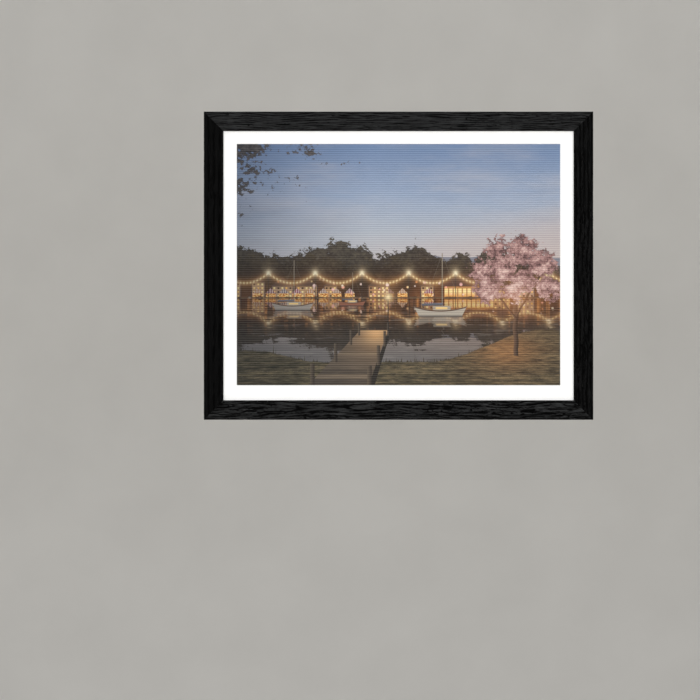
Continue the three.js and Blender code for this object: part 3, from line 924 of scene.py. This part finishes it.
def paint_jetty(p):
    """A planked jetty that runs out from the near bank, with posts and a lamp at its end."""
    g, u, v = p.g, p.u, p.v
    reach = HORIZON - v

    def beside(slope):
        return u - JETTY_U - reach * slope

    deck = beside(JETTY_LEFT).over(0, 0.003) * beside(JETTY_RIGHT).over(0, -0.003)
    deck = deck * (reach - JETTY_END).over(0, 0.002)
    fall = beside(JETTY_RIGHT).over(-0.001, 0.001)
    fall = fall * (beside(JETTY_RIGHT) * -1 + reach * 0.06).over(0, 0.002)
    p.paint(fall * (reach - JETTY_END).over(0, 0.002), (44, 39, 35))
    board = reach ** -1 * 7.5
    shade = g.random(board.floor()) * 0.5 + p.noise(g.point(u, board), (14, 3.1), 51.0, detail=4) * 0.6
    p.paint(deck, g.colours(shade, (0.25, (74, 66, 59)), (0.6, (108, 95, 82)), (0.9, (134, 117, 98))))
    p.paint(deck * within(board.fraction(), 0.0, 0.07, 0.03), (46, 41, 37))
    p.paint(deck * glow((u + 0.09) * 0.8, v - 0.225, 0.05) * 0.6, (255, 190, 118), "SCREEN")
    for slope, distances in JETTY_POSTS:
        for distance in distances:
            foot_u, foot_v = JETTY_U + distance * slope, HORIZON - distance
            thick = distance * 0.022
            stem = within(u, foot_u - thick, foot_u + thick, 0.0012)
            stem = stem * within(v, foot_v - distance * 0.09, foot_v + distance * 0.17, SOFT_EDGE)
            turn = (u - foot_u) * (1 / thick) * 0.5 + 0.5
            p.paint(stem, g.colours(turn, (0, (104, 90, 76)), (1, (50, 44, 39))))
    lamp_u, lamp_v = JETTY_U + JETTY_RIGHT * JETTY_LAMP, HORIZON - JETTY_LAMP
    pole = within(u, lamp_u - 0.0022, lamp_u + 0.0022, 0.001) * within(v, lamp_v, lamp_v + 0.135, 0.001)
    p.paint(pole, (46, 41, 38))
    p.paint(glow(u - lamp_u, v - lamp_v - 0.138, 0.013), (255, 228, 176), "SCREEN")


# The blossom tree's clumps: how far each is from the trunk, its height in the picture and its radius
CLUMPS = (
    (-0.11, 0.4, 0.062),
    (-0.135, 0.475, 0.05),
    (-0.055, 0.475, 0.07),
    (-0.07, 0.56, 0.052),
    (0.025, 0.555, 0.07),
    (0.04, 0.44, 0.06),
    (0.11, 0.5, 0.062),
    (0.13, 0.41, 0.055),
    (-0.02, 0.39, 0.045),
)
TRUNK_U = 0.475
# Its trunk and limbs: how they lean, from what height to what height, and half their thickness
LIMBS = (
    (0.0, 0.13, 0.4, 0.0095),
    (0.6, 0.27, 0.5, 0.005),
    (-0.75, 0.26, 0.5, 0.0055),
    (-0.2, 0.33, 0.56, 0.004),
    (0.25, 0.35, 0.55, 0.004),
)


def paint_blossom(p):
    """A tree in blossom on the near bank, lit from below."""
    g, u, v = p.g, p.u, p.v
    bend = p.noise(p.plane, (0, 9), 61.0, detail=2) * 0.03 - 0.015
    for lean, low, high, thick in LIMBS:
        stem = u - TRUNK_U - bend - (v - low - 0.02).most(0) * lean
        limb = within(stem, -thick, thick, 0.0012) * within(v, low, high, 0.002)
        p.paint(limb, g.colours(stem * (0.5 / thick) + 0.5, (0, (112, 86, 68)), (1, (40, 33, 30))))
    crown = -1
    for at_u, at_v, radius in CLUMPS:
        across, up = (u - TRUNK_U - at_u) * (1 / radius), (v - at_v) * (1 / radius)
        crown = (1 - (across * across + up * up) ** 0.5).most(crown)
    sprays = p.noise(p.plane, (24, 30), 62.0)
    petals = p.noise(p.plane, (75, 75), 64.0, detail=5, roughness=0.8, gain=2.6)
    bunch, _ = g.cells(g.spread(p.plane, (25, 30, 0)))
    mask = (crown + (sprays - 0.5) * 2.2 + (petals - 0.5) * 0.8).over(0.05, 0.14)
    lamplight = glow((u - TRUNK_U) * 0.6, v - 0.37, 0.09)
    shade = petals * 0.62 - bunch * 0.42 + sprays * 0.7 + crown * 0.25 + lamplight * 0.2 - 0.04
    p.paint(mask, g.colours(
        shade,
        (0.2, (62, 47, 48)),
        (0.42, (116, 84, 84)),
        (0.62, (178, 136, 132)),
        (0.88, (234, 200, 190)),
    ))
    p.paint(glow((u - TRUNK_U) * 0.7, v - 0.36, 0.06) * 0.4, (226, 146, 88), "SCREEN")


def paint_twigs(p):
    """Leafy twigs of a tree outside the picture, across its top left corner."""
    leaf = p.noise(p.plane, (46, 52), 81.0, detail=5, roughness=0.72, gain=2.4)
    branch = p.noise(p.plane, (8, 10), 83.0, (0.4, 0.3), gain=1.6)
    corner = (p.u + 0.67) * 0.95 + (1 - p.v) * 1.25
    mask = (branch + leaf * 0.75 - corner * 1.25).over(0.6, 0.68)
    p.paint(mask, p.g.colours(leaf, (0.3, (56, 52, 54)), (0.8, (104, 97, 96))))


RIB_PITCH = 4.1 * MM  # of the fine ribs across the print
RIB_SHADE = 0.14  # of the light, given or taken by a rib
RIB_VEIL = 0.04  # of the warm grey that the inks' black has at most, given or taken by a rib
PAPER_EXPOSURE = 0.88  # of the light, as the camera gives the mat its full white


def lake_at_dusk():
    p = Painting("lake_at_dusk_print")
    g, u, v = p.g, p.u, p.v
    depth = (SHORE - v).most(0)
    wet = (SHORE - v).over(0, SOFT_EDGE)
    near = (HORIZON - v.least(SHORE)) ** -1
    water = g.point(u * near, near)
    swell = p.noise(water, (1.1, 3.4), 2.5)
    chop = p.noise(water, (4, 13), 7.5, detail=2)
    wave = (swell - 0.5) * 0.65 + (chop - 0.5) * 0.35
    mirror_u = u + wave * depth * 0.3
    mirror_v = v + depth * 2 + wave * (depth * 0.8 + wet * 0.01)
    mirrored = g.point(mirror_u, mirror_v)
    paint_sky(p, mirror_u, mirror_v, mirrored)
    paint_hills(p, mirror_v, mirrored)
    paint_wood(p, mirror_u, mirror_v, mirrored)
    paint_town(p, mirror_u, mirror_v, mirrored)
    paint_lamps(p, mirror_u, mirror_v, mirrored)
    paint_water(p, wave, depth, wet)
    for boat in BOATS:
        paint_boat(p, *boat, wave * 0.1)
    paint_bank(p, water)
    paint_jetty(p)
    paint_blossom(p)
    paint_twigs(p)

    shades = (0, (0.42, 0.45, 0.5, 1)), (0.2, (0.74, 0.77, 0.81, 1)), (0.42, (1, 1, 1, 1))
    p.paint(1, g.colours(u * 0.745 + 0.5, *shades), "MULTIPLY")
    ribs = (g.z * (2 * math.pi / RIB_PITCH)).sine()
    p.paint(ribs * RIB_VEIL + RIB_VEIL, (150, 147, 144))
    speck = g.noise(g.spread(g.place, 2300), detail=1)
    light = (ribs * RIB_SHADE + (1 - RIB_SHADE)) * (speck * 0.03 + 0.98) * PAPER_EXPOSURE
    p.colour = g.mix(light, (0, 0, 0, 1), p.colour)
    return g.surface(p.colour, 0.55, g.bump(ribs + speck * 0.5, 0.02 * MM), specular=0.08)


add_piece("art_print_sheet", print_mesh(), lake_at_dusk(), "print_paper", "art_print")


# The back


WIRE_WAVES = 3300  # radians a metre, of the wire mesh that the board was pressed on


def hardboard():
    """Brown hardboard, with the print of the wire mesh."""
    g = Graph("hardboard_back")
    felt = g.noise(g.spread(g.place, 900), detail=5, roughness=0.7)
    stain = g.noise(g.spread(g.place, 11))
    flake = g.noise(g.spread(g.place, 260, (0, 5.5, 0)), detail=2).over(0.6, 0.75)
    mesh_print = (g.x * WIRE_WAVES).sine() * (g.z * WIRE_WAVES).sine()
    shade = (felt - 0.5) * 0.9 + (stain - 0.5) * 0.3 + flake * 0.12 + 0.5
    colour = g.colours(shade, (0.3, (112, 80, 53)), (0.55, (142, 106, 72)), (0.8, (170, 134, 97)))
    return g.surface(colour, 0.7 + felt * 0.2, g.bump(felt + mesh_print * 0.35, 0.15 * MM), specular=0.25)


def grey_board():
    g = Graph("grey_mounting_board")
    felt = g.noise(g.spread(g.place, (800, 2600, 800)), detail=5)
    colour = g.colours(felt, (0.3, (172, 166, 152)), (0.7, (204, 198, 184)))
    return g.surface(colour, 0.88, g.bump(felt, 0.08 * MM), specular=0.2)


def steel(name, dull, bright, stretch, roughness):
    """Plated steel with fine rolling marks and a little tarnish."""
    g = Graph(name)
    marks = g.noise(g.spread(g.place, stretch), detail=4)
    tarnish = g.noise(g.spread(g.place, 210))
    colour = g.colours(tarnish * 0.7 + marks * 0.3, (0.35, dull), (0.65, bright))
    rough = marks * 0.2 + tarnish * 0.15 + (roughness - 0.17)
    return g.surface(colour, rough, g.bump(marks, 0.02 * MM), metallic=1.0)


def rubber():
    g = Graph("black_rubber")
    grit = g.noise(g.spread(g.place, 2400))
    dust = g.noise(g.spread(g.place, 300))
    colour = g.colours(dust, (0.35, (30, 30, 31)), (0.75, (52, 51, 50)))
    return g.surface(colour, 0.75 + grit * 0.15, g.bump(grit, 0.06 * MM), specular=0.3)


def add_eased(node, suffix, width, material, slot):
    """Adds a CAD node's shape with its edges eased, under the node's name and a suffix."""
    add_piece(f"{node}_{suffix}", mesh_of(node, eased(node, width)), material, slot, node)


add_eased("back_panel", "eased", 0.5 * MM, hardboard(), "hardboard")
add_eased("mounting_board", "eased", 0.2 * MM, grey_board(), "grey_board")

TAB_REACH = 15 * MM  # of a tab beyond the wood
TAB_BEND = 0.9 * MM  # of its free end towards the wall
tab_finish = steel("dark_steel_tabs", (70, 71, 74), (120, 122, 125), (900, 900, 900), 0.42)
for node in sorted(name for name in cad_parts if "_tab_" in name):
    axis, edge, sign = {
        "top": (2, TOP, -1),
        "bottom": (2, BOTTOM, 1),
        "left": (0, LEFT, 1),
        "right": (0, RIGHT, -1),
    }[node.split("_")[0]]
    tab = eased(node, 0.12 * MM)
    for vertex in tab.verts:
        free = max(0, sign * (vertex.co[axis] - edge) - RABBET_WALL) / TAB_REACH
        vertex.co.y += TAB_BEND * free * free
    add_piece(f"{node}_bent", mesh_of(node, tab), tab_finish, "tab_steel", node)

NAIL_PROUD = 0.05 * MM  # of the rails' back, where the nails were driven flush
NAIL_END = 1 * MM  # length of the rear end that is moved there
nail_finish = steel("nail_steel", (92, 92, 92), (138, 138, 137), (600, 600, 600), 0.4)
for node in sorted(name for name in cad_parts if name.startswith("nail_")):
    nail = eased(node, 0.06 * MM)
    rear = max(vertex.co.y for vertex in nail.verts)
    for vertex in nail.verts:
        if vertex.co.y > rear - NAIL_END:
            vertex.co.y += BACK + NAIL_PROUD - rear
    add_piece(f"{node}_driven", mesh_of(node, nail), nail_finish, "nail_steel", node)

# The hanger's ramps are gentle, so its edges show from a smaller angle
brass = steel("brassed_steel", (150, 122, 72), (192, 163, 106), (260, 2600, 2600), 0.36)
hanger = mesh_of("sawtooth_hanger_pressed", eased("sawtooth_hanger", 0.2 * MM), sharp_angle=30)
add_piece("sawtooth_hanger_pressed", hanger, brass, "hanger_brass_finish", "sawtooth_hanger")

zinc = steel("zinc_plated_steel", (146, 148, 146), (196, 198, 197), (1500, 1500, 1500), 0.34)
for node in ("hanger_screw_left", "hanger_screw_right"):
    add_eased(node, "turned", 0.08 * MM, zinc, "screw_zinc")

bumper_rubber = rubber()
for node in ("wall_bumper_left", "wall_bumper_right"):
    add_eased(node, "moulded", 0.2 * MM, bumper_rubber, "bumper_rubber")


# Stage and light

HANGING_HEIGHT = 2.5  # of the picture's middle above the floor
STAGE_RADIUS = 7.0
STAGE_CURVE = 2.2
STAGE_TOP = 6.0
STAGE_SIDES = 96
CURVE_STEP = 6  # degrees
FLOOR_RINGS = (0.02, 2.0)  # radii of the flat floor's inner rings

# Each soft light: where it stands from the picture's middle, its width and height, and its watts
LIGHTS = {
    "key": ((-0.8, -3.9, 0.3), 1.3, 1.3, 71),
    "fill": ((0.85, -3.9, 0.2), 1.3, 1.3, 61),
    "top": ((0.2, -2.6, 2.2), 3.0, 1.2, 4),
    "rear": ((0.9, 2.9, 1.7), 2.6, 1.8, 60),
}
SKY_COLOUR = (0.98, 0.99, 1, 1)
SKY_STRENGTH = 0.5


def pale_floor():
    g = Graph("pale_floor")
    mottle = g.noise(g.spread(g.place, 3), detail=4)
    colour = g.colours(mottle, (0.3, (226, 224, 220)), (0.7, (231, 229, 225)))
    return g.surface(colour, 0.9, specular=0.1)


def add_stage():
    """A pale floor that curves up into a round wall, open above."""
    floor = MIDDLE.z - HANGING_HEIGHT
    flat = STAGE_RADIUS - STAGE_CURVE
    profile = [(radius, 0.0) for radius in (*FLOOR_RINGS, flat)]
    for degrees in range(CURVE_STEP, 91, CURVE_STEP):
        a = math.radians(degrees)
        profile.append((STAGE_RADIUS - STAGE_CURVE * (1 - math.sin(a)), STAGE_CURVE * (1 - math.cos(a))))
    profile.append((STAGE_RADIUS, STAGE_TOP))
    turns = [2 * math.pi * i / STAGE_SIDES for i in range(STAGE_SIDES)]
    vertices = [
        (radius * math.cos(turn), radius * math.sin(turn), floor + height)
        for radius, height in profile
        for turn in turns
    ]
    faces = [list(range(STAGE_SIDES))]
    for row in range(len(profile) - 1):
        low, high = row * STAGE_SIDES, (row + 1) * STAGE_SIDES
        for i in range(STAGE_SIDES):
            k = (i + 1) % STAGE_SIDES
            faces.append([low + i, low + k, high + k, high + i])
    mesh = new_mesh("stage_floor", vertices, faces)
    mesh.materials.append(pale_floor())
    stage = bpy.data.objects.new("stage_floor", mesh)
    bpy.context.scene.collection.objects.link(stage)


def add_light(name, offset, width, height, power):
    """A soft light, aimed at the picture's middle."""
    light = bpy.data.objects.new(name, bpy.data.lights.new(name, "AREA"))
    light.data.shape = "RECTANGLE"
    light.data.size, light.data.size_y = width, height
    light.data.energy = power
    light.location = MIDDLE + Vector(offset)
    light.rotation_euler = (-Vector(offset)).to_track_quat("-Z", "Y").to_euler()
    bpy.context.scene.collection.objects.link(light)


def add_world():
    world = bpy.data.worlds.new("studio")
    world.use_nodes = True
    background = world.node_tree.nodes["Background"]
    background.inputs["Color"].default_value = SKY_COLOUR
    background.inputs["Strength"].default_value = SKY_STRENGTH
    bpy.context.scene.world = world


add_stage()
for name, light in LIGHTS.items():
    add_light(name, *light)
add_world()
bpy.context.scene.view_settings.view_transform = "Standard"
